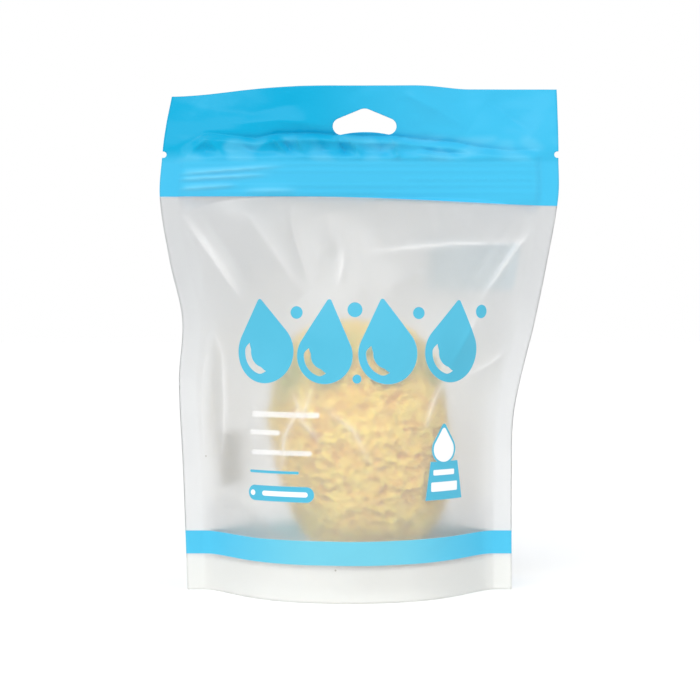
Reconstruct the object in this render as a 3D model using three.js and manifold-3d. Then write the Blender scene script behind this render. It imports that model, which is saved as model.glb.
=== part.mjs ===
// A natural sea sponge in its resealable stand-up pouch.
// Millimetres, +Z up. The origin is on the surface that the pouch stands on, under the middle of its outline.
// The front panel faces -Y. The header is flat, and below it the two panels bulge apart round the sponge.

import * as THREE from "three";
import { mergeVertices } from "three/addons/utils/BufferGeometryUtils.js";
import Module from "manifold-3d";

const wasm = await Module();
wasm.setup();

// Driving dimensions
const POUCH_HEIGHT = 190;
const FLAT_WIDTH = 150; // of the film between its two cut edges, laid flat
const SIDE_SEAL = 6; // width of the welded strip along each side
const SEAL_EASE = 11; // how far from a side seal the film has mostly turned into its arc
const FILM = 0.6; // modelled thickness of every film
const GAP = 0.3; // clearance between solids that touch on the real pouch
const GUSSET = 35; // from the rim to the fold of the bottom gusset, along the film
const SKIRT = 5; // height of the welded strip along the bottom rim

const ZIP_HEIGHT = 155; // middle of the press-to-close strip
const ZIP_BAND = 12; // height of its tapes
const ZIP_ROOM = 1.6; // how far each panel stands off the middle plane to make room for it
const ZIP_ROOM_FOOT = [140, 148]; // the room opens between these heights
const ZIP_ROOM_HEAD = [162, 166]; // and closes between these
const ZIP_END_GAP = 5; // from each side weld to the end of the strip
const HEADER_FOOT = 148; // from here up the panels lie flat together, apart from the zip's room

// The header leans back from its start on up, and towards each top corner, between the two x places given.
const CURL = { start: 164, span: 40, left: 16, right: 8.4, leftFrom: [-8, -72], rightFrom: [18, 42] };

// The hanging hole: a gable between two lobes, over a slightly hollow foot
const HOLE = { x: 2.1, z: 176.5, width: 24, height: 9.6, lobe: 3, apex: 4, hollow: 0.9 };
const NOTCH = { z: 164, depth: 1.6, halfWidth: 1.2 };

// The sponge's middle and half sizes. At its left end it lacks a share of its depth, which grows between two x
// places, and at its foot it lacks a share of its left half's width, which grows between two heights.
const SPONGE = { x: -0.6, z: 57, halfWidth: 36, halfDepth: 33.5, halfHeight: 46.5 };
const THIN_LEFT = { share: 0.35, from: [-8, -38] };
const CUT_LEFT = { share: 0.24, from: [75, 25] };
const MOUTHS = { count: 30, depth: 0.07, narrow: 0.13, spread: 0.05 }; // depth as a share, widths as angles

// The two cut edges as [height, x]: the pouch narrows where it bulges.
const LEFT_EDGE = [
  [0, -64.8], [45, -66.4], [79, -67.9], [102, -66.6], [124, -71.3], [148, -75], [164, -74], [190, -71.5],
];
const RIGHT_EDGE = [
  [0, 57.7], [45, 57.7], [68, 58.6], [102, 66.4], [124, 70.9], [148, 75], [164, 75], [190, 75],
];

// Colours
const MILKY_FILM = 0xe4e6e6;
const CLEAR_STRIP = 0xd9e6ec;
const STRAW = 0xe6c77e;

// A smooth curve through [height, x] points: cubic pieces whose slopes are those between each point's
// neighbours.
function through(points) {
  const slope = points.map((_, i) => {
    const [z0, x0] = points[Math.max(i - 1, 0)];
    const [z1, x1] = points[Math.min(i + 1, points.length - 1)];
    return (x1 - x0) / (z1 - z0);
  });
  return (z) => {
    const last = points.length - 2;
    const i = Math.min(Math.max(points.findIndex(([height]) => height > z) - 1, 0), last);
    const k = z >= points[last + 1][0] ? last : i;
    const [z0, x0] = points[k];
    const [z1, x1] = points[k + 1];
    const h = z1 - z0;
    const t = Math.min(Math.max((z - z0) / h, 0), 1);
    return (
      x0 * (1 + 2 * t) * (1 - t) ** 2 +
      slope[k] * h * t * (1 - t) ** 2 +
      x1 * t * t * (3 - 2 * t) +
      slope[k + 1] * h * t * t * (t - 1)
    );
  };
}

const leftEdge = through(LEFT_EDGE);
const rightEdge = through(RIGHT_EDGE);

function smoothstep(from, to, value) {
  const t = Math.min(Math.max((value - from) / (to - from), 0), 1);
  return t * t * (3 - 2 * t);
}

// The half angle of a circular arc whose chord is this share of its length, by Newton's method.
function halfAngle(share) {
  let angle = Math.sqrt(6 * (1 - share));
  for (let i = 0; i < 4; i++) {
    const error = Math.sin(angle) - share * angle;
    angle -= error / (Math.cos(angle) - share);
  }
  return angle;
}

// How far the inner face of a panel stands off the middle plane: an arc of the film's own flat length between
// the two side seals, so that a narrower pouch is a deeper one, eased in at the seals, or the room that the zip
// takes.
function standOff(x, z) {
  const from = leftEdge(z) + SIDE_SEAL;
  const to = rightEdge(z) - SIDE_SEAL;
  if (x <= from || x >= to) return 0;
  const share = z < HEADER_FOOT ? (to - from) / (FLAT_WIDTH - 2 * SIDE_SEAL) : 1;
  const middle = (from + to) / 2;
  const fromSeal = Math.min(x - from, to - x);
  let depth = 0;
  if (share < 0.9999) {
    const angle = halfAngle(share);
    const radius = (to - from) / 2 / Math.sin(angle);
    const arc = Math.sqrt(radius ** 2 - (x - middle) ** 2) - radius * Math.cos(angle);
    depth = arc * (1 - Math.exp(-((fromSeal / SEAL_EASE) ** 1.3)));
  }
  const inZip = smoothstep(...ZIP_ROOM_FOOT, z) - smoothstep(...ZIP_ROOM_HEAD, z);
  return Math.max(depth, ZIP_ROOM * inZip * smoothstep(0, 4, fromSeal));
}

// Where the header's lean moves a place: back by a smooth step up the header, and down by as much as the leaning
// film's own length asks, which is half the integral of its squared slope.
function curl(x, z) {
  const toLeft = CURL.left * smoothstep(...CURL.leftFrom, x);
  const lean = toLeft + CURL.right * smoothstep(...CURL.rightFrom, x);
  const t = Math.max((z - CURL.start) / CURL.span, 0);
  const back = lean * t * t * (3 - 2 * t);
  const down = ((18 * lean ** 2) / CURL.span) * (t ** 3 / 3 - t ** 4 / 2 + t ** 5 / 5);
  return { back, down };
}

// Joins triangles into one closed solid.
function solidFrom(geometry) {
  const bare = geometry.clone();
  bare.deleteAttribute("normal");
  bare.deleteAttribute("uv");
  const merged = mergeVertices(bare, 1e-4);
  return new wasm.Manifold(
    new wasm.Mesh({
      numProp: 3,
      vertProperties: new Float32Array(merged.attributes.position.array),
      triVerts: new Uint32Array(merged.index.array),
    }),
  );
}

function geometryFrom(solid) {
  const mesh = solid.getMesh();
  const geometry = new THREE.BufferGeometry();
  geometry.setAttribute("position", new THREE.BufferAttribute(new Float32Array(mesh.vertProperties), 3));
  geometry.setIndex(new THREE.BufferAttribute(new Uint32Array(mesh.triVerts), 1));
  return geometry;
}

// A closed shell from two grids of points, the one its outer face and the other its inner face.
function shell(outer, inner) {
  const rows = outer.length;
  const columns = outer[0].length;
  const positions = [...outer.flat(), ...inner.flat()].flatMap((p) => [p.x, p.y, p.z]);
  const index = [];
  const at = (layer, row, column) => (layer * rows + row) * columns + column;
  const quad = (a, b, c, d) => index.push(a, b, c, a, c, d);
  for (let r = 0; r < rows - 1; r++) {
    for (let c = 0; c < columns - 1; c++) {
      quad(at(0, r, c), at(0, r, c + 1), at(0, r + 1, c + 1), at(0, r + 1, c));
      quad(at(1, r, c), at(1, r + 1, c), at(1, r + 1, c + 1), at(1, r, c + 1));
    }
  }
  for (let c = 0; c < columns - 1; c++) {
    quad(at(0, 0, c), at(1, 0, c), at(1, 0, c + 1), at(0, 0, c + 1));
    quad(at(0, rows - 1, c), at(0, rows - 1, c + 1), at(1, rows - 1, c + 1), at(1, rows - 1, c));
  }
  for (let r = 0; r < rows - 1; r++) {
    quad(at(0, r, 0), at(0, r + 1, 0), at(1, r + 1, 0), at(1, r, 0));
    quad(at(0, r, columns - 1), at(1, r, columns - 1), at(1, r + 1, columns - 1), at(0, r + 1, columns - 1));
  }
  const geometry = new THREE.BufferGeometry();
  geometry.setAttribute("position", new THREE.Float32BufferAttribute(positions, 3));
  geometry.setIndex(index);
  return geometry;
}

const PANEL_COLUMNS = 20;
const PANEL_HEIGHTS = [
  0, 8, 18, 30, 42, 54, 66, 76, 86, 96, 104, 112, 120, 127, 134, 140, 144, 148, 162, 166, 172, 178, 184, 190,
];

// The x places across a panel at one height: its cut edge, the seal's inner edge, then closer near the seals.
function acrossPanel(z) {
  const from = leftEdge(z) + SIDE_SEAL;
  const to = rightEdge(z) - SIDE_SEAL;
  const crowding = 0.45;
  const inside = Array.from({ length: PANEL_COLUMNS + 1 }, (_, i) => {
    const share = i / PANEL_COLUMNS;
    const eased = (1 - Math.cos(Math.PI * share)) / 2;
    return from + (to - from) * (share + (eased - share) * crowding);
  });
  return [leftEdge(z), ...inside, rightEdge(z)];
}

// The panel's inner face and, one film thickness out along the level normal, its outer face.
// side is -1 for the front panel and 1 for the back one.
function panelGrids(side) {
  const outer = [];
  const inner = [];
  for (const z of PANEL_HEIGHTS) {
    const places = acrossPanel(z);
    const depths = places.map((x) => standOff(x, z));
    const last = places.length - 1;
    const innerRow = places.map((x, i) => {
      const { back, down } = curl(x, z);
      return new THREE.Vector3(x, side * (GAP / 2 + depths[i]) + back, z - down);
    });
    const outerRow = innerRow.map((point, i) => {
      const inSeal = i === 0 || i === last;
      const slope = inSeal ? 0 : (depths[i + 1] - depths[i - 1]) / (places[i + 1] - places[i - 1]);
      const length = Math.hypot(slope, 1);
      return new THREE.Vector3(point.x - (FILM * slope) / length, point.y + (side * FILM) / length, point.z);
    });
    inner.push(innerRow);
    outer.push(outerRow);
  }
  return side < 0 ? [outer, inner] : [inner, outer];
}

// The hanging hole, anticlockwise from its foot: the right lobe, the gable's rounded top and the left lobe,
// joined by the straight lines that touch them, and the hollow foot.
function holeShape() {
  const { width, height, lobe, apex, hollow } = HOLE;
  const lobeX = width / 2 - lobe;
  const lobeZ = lobe - height / 2;
  const apexZ = height / 2 - apex;
  const drop = lobeZ - apexZ;
  const touch = Math.atan2(drop, lobeX) + Math.acos((apex - lobe) / Math.hypot(lobeX, drop));
  const shape = new THREE.Shape();
  shape.absarc(lobeX, lobeZ, lobe, -Math.PI / 2, touch, false);
  shape.absarc(0, apexZ, apex, touch, Math.PI - touch, false);
  shape.absarc(-lobeX, lobeZ, lobe, Math.PI - touch, Math.PI * 1.5, false);
  shape.quadraticCurveTo(0, 2 * hollow - height / 2, lobeX, -height / 2);
  return shape;
}

// A prism with this outline in the X-Z plane, long enough to pass through the whole pouch.
function cutterThrough(shape, x, z) {
  const reach = 60;
  const geometry = new THREE.ExtrudeGeometry(shape, { depth: reach, bevelEnabled: false, curveSegments: 8 });
  geometry.rotateX(Math.PI / 2);
  geometry.translate(x, reach / 2, z);
  return solidFrom(geometry);
}

// A tear notch in a left edge at x = 0: a slot with a round end, from outside the film.
function notchShape() {
  const { depth, halfWidth } = NOTCH;
  const outside = -3;
  const shape = new THREE.Shape();
  shape.moveTo(outside, -halfWidth);
  shape.lineTo(depth - halfWidth, -halfWidth);
  shape.absarc(depth - halfWidth, 0, halfWidth, -Math.PI / 2, Math.PI / 2, false);
  shape.lineTo(outside, halfWidth);
  return shape;
}

function mirrored(shape) {
  return new THREE.Shape(shape.getPoints(8).map((p) => new THREE.Vector2(-p.x, p.y)).reverse());
}

function panel(side) {
  const cutters = [
    cutterThrough(holeShape(), HOLE.x, HOLE.z),
    cutterThrough(notchShape(), leftEdge(NOTCH.z), NOTCH.z),
    cutterThrough(mirrored(notchShape()), rightEdge(NOTCH.z), NOTCH.z),
  ];
  const [outer, inner] = panelGrids(side);
  const cut = cutters.reduce((solid, cutter) => solid.subtract(cutter), solidFrom(shell(outer, inner)));
  return geometryFrom(cut);
}

// Half the distance between the gusset's two skirts, which stand just inside the panels.
const gussetRim = (x) => standOff(x, 0) - GAP - FILM / 2;

// The height of the gusset's floor, which arches up to a fold in the middle. The film's length from rim to fold
// is fixed, so the fold is low where the pouch is deep and high at its two ends. share is 0 at the fold and 1
// at a skirt.
function gussetHeight(x, share) {
  const fold = Math.sqrt(GUSSET ** 2 - gussetRim(x) ** 2);
  return SKIRT + (fold - SKIRT) * (1 - Math.abs(share) ** 1.5);
}

// The bottom gusset: a skirt against each panel's rim, joined by the floor.
function gusset() {
  const ends = 6;
  const columns = 22;
  const steps = 7;
  const from = leftEdge(0) + SIDE_SEAL + ends;
  const to = rightEdge(0) - SIDE_SEAL - ends;
  const middle = [];
  for (let c = 0; c <= columns; c++) {
    const x = from + ((to - from) * c) / columns;
    const rim = gussetRim(x);
    const line = [new THREE.Vector3(x, -rim, FILM)];
    for (let s = -steps; s <= steps; s++) {
      line.push(new THREE.Vector3(x, (rim * s) / steps, gussetHeight(x, s / steps)));
    }
    line.push(new THREE.Vector3(x, rim, FILM));
    middle.push(line);
  }
  const offset = (amount) =>
    middle.map((line, c) =>
      line.map((point, s) => {
        const along = middle[Math.min(c + 1, columns)][s].clone().sub(middle[Math.max(c - 1, 0)][s]);
        const across = line[Math.min(s + 1, line.length - 1)].clone().sub(line[Math.max(s - 1, 0)]);
        return point.clone().addScaledVector(along.cross(across).normalize(), amount);
      }),
    );
  return shell(offset(-FILM / 2), offset(FILM / 2));
}

// A strip along the zip from an outline in the Y-Z plane.
function zipStrip(outline) {
  const from = leftEdge(ZIP_HEIGHT) + SIDE_SEAL + ZIP_END_GAP;
  const to = rightEdge(ZIP_HEIGHT) - SIDE_SEAL - ZIP_END_GAP;
  const shape = new THREE.Shape(outline.map(([y, z]) => new THREE.Vector2(y, z)));
  const geometry = new THREE.ExtrudeGeometry(shape, { depth: to - from, bevelEnabled: false });
  geometry.applyMatrix4(new THREE.Matrix4().set(0, 0, 1, from, 1, 0, 0, 0, 0, 1, 0, ZIP_HEIGHT, 0, 0, 0, 1));
  return geometry;
}

const TAPE = 0.5; // thickness of each tape
const TAPE_FACE = ZIP_ROOM - GAP / 2; // from the middle plane to a tape's outer face
const TONGUE = 0.5; // half thickness
const TONGUE_REACH = 0.4; // how far the tongue passes the middle plane
const JAW = 0.6; // thickness of each of the groove's two jaws
const JAW_REACH = 0.5;

function tongueStrip() {
  const inner = -TAPE_FACE + TAPE;
  return zipStrip([
    [-TAPE_FACE, -ZIP_BAND / 2],
    [inner, -ZIP_BAND / 2],
    [inner, -TONGUE],
    [TONGUE_REACH, -TONGUE],
    [TONGUE_REACH, TONGUE],
    [inner, TONGUE],
    [inner, ZIP_BAND / 2],
    [-TAPE_FACE, ZIP_BAND / 2],
  ]);
}

function grooveStrip() {
  const inner = TAPE_FACE - TAPE;
  const mouth = TONGUE + GAP;
  return zipStrip([
    [TAPE_FACE, -ZIP_BAND / 2],
    [TAPE_FACE, ZIP_BAND / 2],
    [inner, ZIP_BAND / 2],
    [inner, mouth + JAW],
    [-JAW_REACH, mouth + JAW],
    [-JAW_REACH, mouth],
    [inner, mouth],
    [inner, -mouth],
    [-JAW_REACH, -mouth],
    [-JAW_REACH, -mouth - JAW],
    [inner, -mouth - JAW],
    [inner, -ZIP_BAND / 2],
  ]);
}

// Evenly spread directions, on a spiral from pole to pole.
function spiral(count) {
  const golden = Math.PI * (3 - Math.sqrt(5));
  return Array.from({ length: count }, (_, i) => {
    const z = 1 - (2 * i + 1) / count;
    const r = Math.sqrt(1 - z * z);
    return new THREE.Vector3(r * Math.cos(golden * i), r * Math.sin(golden * i), z);
  });
}

// The sponge's soft lobes, as a share of its size, in each direction.
function lobes(way) {
  const broad = 0.035 * Math.sin(3.1 * way.x + 1.3) * Math.sin(3.7 * way.z - 0.4);
  return broad + 0.02 * Math.sin(7 * way.z + 4 * way.x);
}

// The sponge: a rounded block with soft lobes and wide, shallow mouths. It is pressed in where the film touches
// it, and it rests on the gusset's floor.
function sponge() {
  const roundness = 2.8; // the power of its outline: 2 is an ellipsoid, and more is boxier
  const mouths = spiral(MOUTHS.count);
  const geometry = new THREE.IcosahedronGeometry(1, 11);
  const position = geometry.attributes.position;
  for (let i = 0; i < position.count; i++) {
    const way = new THREE.Vector3().fromBufferAttribute(position, i).normalize();
    const powers = way.toArray().map((part) => Math.abs(part) ** roundness);
    const fullness = (powers[0] + powers[1] + powers[2]) ** (-1 / roundness);
    let size = fullness * (0.94 + lobes(way));
    mouths.forEach((mouth, k) => {
      const width = MOUTHS.narrow + MOUTHS.spread * Math.sin(k * 2.4) ** 2;
      size -= MOUTHS.depth * smoothstep(width, 0.3 * width, way.angleTo(mouth));
    });
    const height = SPONGE.z + SPONGE.halfHeight * size * way.z;
    const cut = way.x < 0 ? CUT_LEFT.share * smoothstep(...CUT_LEFT.from, height) : 0;
    const x = SPONGE.x + SPONGE.halfWidth * size * way.x * (1 - cut);
    const room = standOff(x, height) - 2 * GAP;
    const depth = SPONGE.halfDepth * (1 - THIN_LEFT.share * smoothstep(...THIN_LEFT.from, x));
    const y = Math.min(Math.max(depth * size * way.y, -room), room);
    const floor = gussetHeight(x, Math.min(Math.abs(y) / gussetRim(x), 1)) + 2 * FILM + GAP;
    position.setXYZ(i, x, y, Math.max(height, floor));
  }
  return geometryFrom(solidFrom(geometry));
}

const finish = (color, roughness) => new THREE.MeshStandardMaterial({ color, roughness, metalness: 0 });
const film = finish(MILKY_FILM, 0.45);
const clearStrip = finish(CLEAR_STRIP, 0.3);
const spongeSkeleton = finish(STRAW, 0.95);

const pieces = {
  front_panel: [panel(-1), film],
  back_panel: [panel(1), film],
  bottom_gusset: [gusset(), film],
  zip_tongue_strip: [tongueStrip(), clearStrip],
  zip_groove_strip: [grooveStrip(), clearStrip],
  sea_sponge: [sponge(), spongeSkeleton],
};

const pouchWithSponge = new THREE.Group();
for (const [name, [geometry, material]] of Object.entries(pieces)) {
  const mesh = new THREE.Mesh(geometry, material);
  mesh.name = name;
  pouchWithSponge.add(mesh);
}

export default pouchWithSponge;
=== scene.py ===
"""A natural sea sponge in its frosted, resealable stand-up pouch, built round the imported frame.

Shapes are worked out in millimetres in the frame's own axes: +Z up, the front panel faces -Y, and the
pouch stands on z = 0. Each mesh is put in metres when it is made.
"""

import math

import bpy
import numpy as np
from bpy.props import FloatProperty, FloatVectorProperty, IntProperty, PointerProperty
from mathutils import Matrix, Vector


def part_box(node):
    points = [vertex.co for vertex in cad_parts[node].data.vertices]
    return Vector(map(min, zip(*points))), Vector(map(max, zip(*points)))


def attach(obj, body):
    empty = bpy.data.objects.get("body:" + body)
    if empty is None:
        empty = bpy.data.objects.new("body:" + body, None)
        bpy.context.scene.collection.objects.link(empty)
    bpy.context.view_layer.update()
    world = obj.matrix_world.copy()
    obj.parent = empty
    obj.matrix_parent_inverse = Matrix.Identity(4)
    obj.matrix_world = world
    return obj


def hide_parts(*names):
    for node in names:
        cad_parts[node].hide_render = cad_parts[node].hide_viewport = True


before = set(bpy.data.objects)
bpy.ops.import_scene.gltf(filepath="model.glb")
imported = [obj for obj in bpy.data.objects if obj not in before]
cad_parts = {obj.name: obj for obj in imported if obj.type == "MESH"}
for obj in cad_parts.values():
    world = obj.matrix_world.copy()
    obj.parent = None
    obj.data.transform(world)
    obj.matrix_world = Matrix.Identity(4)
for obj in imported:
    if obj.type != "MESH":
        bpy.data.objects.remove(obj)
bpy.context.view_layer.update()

bl_info = {
    "name": "Sponge Pouch",
    "version": (1, 0, 0),
    "blender": (4, 5, 0),
    "location": "View3D > Sidebar > Sponge Pouch",
    "description": "Builds a sea sponge in a printed stand-up pouch and a small studio round it",
    "category": "Add Mesh",
}

MM = 0.001


# ---------------------------------------------------------------- the pouch's own form, in millimetres

def mm(length):
    return length / MM


POUCH_HEIGHT = mm(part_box("front_panel")[1].z)
FLAT_WIDTH = 150.0  # of the film between its two cut edges, laid flat
SIDE_SEAL = 6.0
SEAL_EASE = 11.0  # how far from a side seal the film has mostly turned into its arc
GUSSET = 35.0  # from the rim to the gusset's fold, along the film
SKIRT = 5.0  # height of the strip that is welded along the bottom rim
HEADER_FOOT = 148.0  # from here up the two panels lie flat together, apart from the zip's room
ZIP_ROOM = 1.6  # how far each panel stands off the middle plane to make room for the zip
ZIP_ROOM_FOOT = (140.0, 148.0)  # the room opens between these heights
ZIP_ROOM_HEAD = (162.0, 166.0)  # and closes between these
TAPE_TOP = 161.0  # top of the zip's tapes
CAD_PLANE = 0.45  # from the middle plane to the middle of the CAD film where the panels touch
MIDDLE_LINE = -3.5  # x of the upright line that the printing is measured from

# The header's lean: it starts at a height, takes a span to grow, and goes so far back at each top corner
CURL = {"start": 164.0, "span": 40.0, "left": 16.0, "right": 8.4}
CURL_TO_LEFT = (-8.0, -72.0)
CURL_TO_RIGHT = (18.0, 42.0)

# The hanging hole: a gable between two lobes, over a slightly hollow foot
HOLE = {"x": 2.1, "z": 176.5, "width": 24.0, "height": 9.6, "lobe": 3.0, "apex": 4.0, "hollow": 0.9}
NOTCH = {"z": 164.0, "depth": 1.6, "half_width": 1.2}

# The two cut edges as (height, x): the pouch narrows where it bulges.
LEFT_EDGE = [
    (0, -64.8), (45, -66.4), (79, -67.9), (102, -66.6), (124, -71.3), (148, -75), (164, -74), (190, -71.5),
]
RIGHT_EDGE = [
    (0, 57.7), (45, 57.7), (68, 58.6), (102, 66.4), (124, 70.9), (148, 75), (164, 75), (190, 75),
]


def through(points):
    """A smooth curve through (height, x) points: cubic pieces whose end slopes are those between each
    point's two neighbours."""
    heights, places = np.array(points, float).T
    before = np.maximum(np.arange(len(points)) - 1, 0)
    after = np.minimum(np.arange(len(points)) + 1, len(points) - 1)
    slopes = (places[after] - places[before]) / (heights[after] - heights[before])

    def curve(z):
        i = np.clip(np.searchsorted(heights, z, side="right") - 1, 0, len(points) - 2)
        step = heights[i + 1] - heights[i]
        t = np.clip((z - heights[i]) / step, 0, 1)
        return (
            places[i] * (1 + 2 * t) * (1 - t) ** 2
            + slopes[i] * step * t * (1 - t) ** 2
            + places[i + 1] * t * t * (3 - 2 * t)
            + slopes[i + 1] * step * t * t * (t - 1)
        )

    return curve


left_edge = through(LEFT_EDGE)
right_edge = through(RIGHT_EDGE)


def smoothstep(start, end, value):
    t = np.clip((value - start) / (end - start), 0, 1)
    return t * t * (3 - 2 * t)


def half_angle(share):
    """The half angle of a circular arc whose chord is this share of its length, by Newton's method."""
    angle = np.sqrt(6 * (1 - share))
    for _ in range(5):
        angle = angle - (np.sin(angle) - share * angle) / (np.cos(angle) - share)
    return angle


def cross_section(z):
    """At each height: the two seals' inner edges, and the arc's radius and half angle. The film between the
    seals keeps its flat length, so a narrower pouch is a deeper one."""
    start, end = left_edge(z) + SIDE_SEAL, right_edge(z) - SIDE_SEAL
    share = np.where(z < HEADER_FOOT, (end - start) / (FLAT_WIDTH - 2 * SIDE_SEAL), 1.0)
    angle = half_angle(np.clip(share, 0.3, 0.9999))
    radius = (end - start) / 2 / np.sin(angle)
    return start, end, radius, angle, share < 0.9999


def from_seal(x, z):
    """How far a place lies inside the nearer side seal's inner edge."""
    return np.minimum(x - left_edge(z) - SIDE_SEAL, right_edge(z) - SIDE_SEAL - x)


def stand_off(x, z):
    """How far a panel stands off the middle plane: the arc's height there, eased in at the side seals, or
    the room that the zip takes."""
    start, end, radius, angle, bulges = cross_section(z)
    inset = np.maximum(from_seal(x, z), 0)
    arc = np.sqrt(np.maximum(radius**2 - (x - (start + end) / 2) ** 2, 0)) - radius * np.cos(angle)
    eased = np.maximum(arc, 0) * (1 - np.exp(-((inset / SEAL_EASE) ** 1.3)))
    in_zip = smoothstep(*ZIP_ROOM_FOOT, z) - smoothstep(*ZIP_ROOM_HEAD, z)
    return np.maximum(np.where(bulges, eased, 0), ZIP_ROOM * in_zip * smoothstep(0, 4, inset))


def curl(x, z):
    """How far the header's lean moves a place back, by a smooth step up the header, and down, by half the
    integral of the lean's squared slope."""
    lean = CURL["left"] * smoothstep(*CURL_TO_LEFT, x) + CURL["right"] * smoothstep(*CURL_TO_RIGHT, x)
    t = np.maximum((z - CURL["start"]) / CURL["span"], 0)
    down = 18 * lean**2 / CURL["span"] * (t**3 / 3 - t**4 / 2 + t**5 / 5)
    return lean * t * t * (3 - 2 * t), down


def flat_x(x, z):
    """How far along the film a place lies from the upright middle line: along the arc between the seals,
    and straight on in a seal."""
    start, end, radius, _, _ = cross_section(z)
    middle = (start + end) / 2
    inside = np.clip(x, start, end)
    turn = np.arcsin((inside - middle) / radius) - np.arcsin((MIDDLE_LINE - middle) / radius)
    return radius * turn + x - inside


# ---------------------------------------------------------------- noise and folds

def lattice(cell, seed):
    """A repeatable number from 0 to 1 for each whole-number cell, from a mix of its three indices."""
    i = cell.astype(np.int64)
    mixed = (i[..., 0] * 73856093) ^ (i[..., 1] * 19349663) ^ (i[..., 2] * 83492791) ^ (seed * 2654435761)
    mixed = (mixed ^ (mixed >> 13)) * 1274126177
    mixed = (mixed ^ (mixed >> 16)) & 0xFFFFFF
    return mixed / float(0xFFFFFF)


def value_noise(points, seed):
    """Smooth noise from -1 to 1: the eight corner numbers of each cell, blended by a quintic ease."""
    cell = np.floor(points)
    t = points - cell
    t = t * t * t * (t * (t * 6 - 15) + 10)
    total = np.zeros(points.shape[:-1])
    for corner in np.ndindex(2, 2, 2):
        weight = np.prod(np.where(np.array(corner) == 1, t, 1 - t), axis=-1)
        total = total + weight * lattice(cell + corner, seed)
    return total * 2 - 1


def layered_noise(points, seed, layers=4, fade=0.5):
    """Layers of value noise, each twice as fine and fade times as strong as the one before."""
    total, strength = 0.0, 1.0
    for layer in range(layers):
        total = total + strength * value_noise(points * 2.0**layer + 17.3 * layer, seed + layer)
        strength *= fade
    return total


def nearest_seed(points, seed):
    """The distance from each point to the nearest of the seeds scattered one to a cell, and that seed's
    own random number."""
    cell = np.floor(points)
    best = np.full(points.shape[:-1], 9.0)
    mark = np.zeros(points.shape[:-1])
    for step in np.ndindex(3, 3, 3):
        near = cell + np.array(step) - 1
        place = near + np.stack([lattice(near, seed + k) for k in range(3)], axis=-1)
        distance = np.linalg.norm(points - place, axis=-1)
        closer = distance < best
        best = np.where(closer, distance, best)
        mark = np.where(closer, lattice(near, seed + 7), mark)
    return best, mark


def fold(x, z, route, width, height, round_top=0.15):
    """A crease along a route of (x, z) points: highest on the route, falling off on both sides as an
    exponential with a slightly rounded top, and dying out at the route's two ends."""
    route = np.array(route, float)
    lengths = np.linalg.norm(np.diff(route, axis=0), axis=1)
    total, run = lengths.sum(), 0.0
    best = np.full(np.shape(x), 1e9)
    along = np.zeros(np.shape(x))
    for (x0, z0), (x1, z1), length in zip(route[:-1], route[1:], lengths):
        t = np.clip(((x - x0) * (x1 - x0) + (z - z0) * (z1 - z0)) / length**2, 0, 1)
        distance = np.hypot(x - x0 - t * (x1 - x0), z - z0 - t * (z1 - z0))
        closer = distance < best
        best = np.where(closer, distance, best)
        along = np.where(closer, (run + t * length) / total, along)
        run += length
    taper = np.sin(np.pi * np.clip(along, 0.02, 0.98)) ** 0.7
    across = np.hypot(best / width, round_top) - round_top
    return height * taper * np.exp(-across)


FOLD_STRENGTH = 1.3  # every window crease's height is taken this many times
CRUMPLE_STRENGTH = 2.0  # and every header crease's height this many times

# Creases as (route, width, height): a height above 0 stands out of the pouch.
FRONT_FOLDS = [
    # from the zip's two ends down to the bulge
    ([(-67, 142), (-56, 127), (-44, 110)], 1.5, 1.5),
    ([(-60, 144), (-49, 128), (-37, 108)], 5.0, -1.6),
    ([(-45, 147), (-33, 129), (-20, 110)], 7.0, 2.0),
    ([(-26, 146), (-24, 132), (-18, 115)], 1.8, -1.0),
    ([(-12, 142), (-8, 127), (-3, 112)], 7.0, -1.3),
    ([(67, 138), (60, 130), (45, 109)], 1.3, 1.3),
    ([(60, 141), (47, 125), (35, 108)], 6.0, -1.3),
    ([(62, 131), (34, 130), (4, 127)], 2.0, 1.0),
    ([(30, 120), (18, 117), (6, 113)], 5.0, 0.8),
    ([(-6.4, 128), (-6.2, 122), (-8, 114)], 1.6, 0.9),
    # a tall, pointed buckle at the left
    ([(-54.5, 99), (-58, 88), (-59.5, 70), (-58, 46)], 1.3, 1.3),
    ([(-54.5, 99), (-51, 89), (-50, 70), (-51, 50)], 1.5, 0.9),
    ([(-55, 92), (-55, 70), (-55, 50)], 2.6, -1.4),
    # where the film is drawn tight over the sponge
    ([(-24, 76), (-22, 70), (-27, 60), (-28, 46)], 1.1, 0.7),
    ([(-17, 77), (-21, 66), (-14, 58)], 1.0, 0.6),
    ([(-12, 70), (-2, 62), (4, 50)], 1.2, 0.5),
    ([(31, 80), (27, 72), (24, 62)], 1.1, 0.8),
    ([(46, 108), (40, 96), (33, 84)], 1.8, 0.9),
    ([(60, 93), (48, 85), (36, 80)], 2.0, 1.0),
    ([(52, 72), (50, 52), (52, 30)], 3.2, 1.0),
    ([(-44, 38), (-40, 26), (-30, 19)], 3.0, 0.7),
    ([(40, 34), (34, 24), (24, 18)], 3.0, 0.7),
]

BACK_FOLDS = [
    ([(-64, 141), (-52, 124), (-40, 104)], 2.0, 1.5),
    ([(64, 141), (54, 124), (40, 102)], 2.0, 1.6),
    ([(0, 142), (4, 126), (2, 110)], 5.0, -1.4),
    ([(-30, 140), (-22, 122), (-18, 106)], 3.2, 1.1),
    ([(30, 140), (24, 124), (16, 108)], 4.0, -1.0),
    ([(-52, 96), (-55, 70), (-54, 44)], 2.0, 1.1),
    ([(50, 90), (52, 66), (51, 40)], 2.2, 1.1),
    ([(-20, 74), (-8, 66), (6, 70)], 1.3, 0.7),
    ([(-34, 58), (-20, 50), (-10, 40)], 1.5, 0.6),
    ([(-40, 34), (-30, 24), (-16, 18)], 3.0, 0.7),
    ([(38, 36), (30, 24), (16, 18)], 3.0, 0.7),
]

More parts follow.
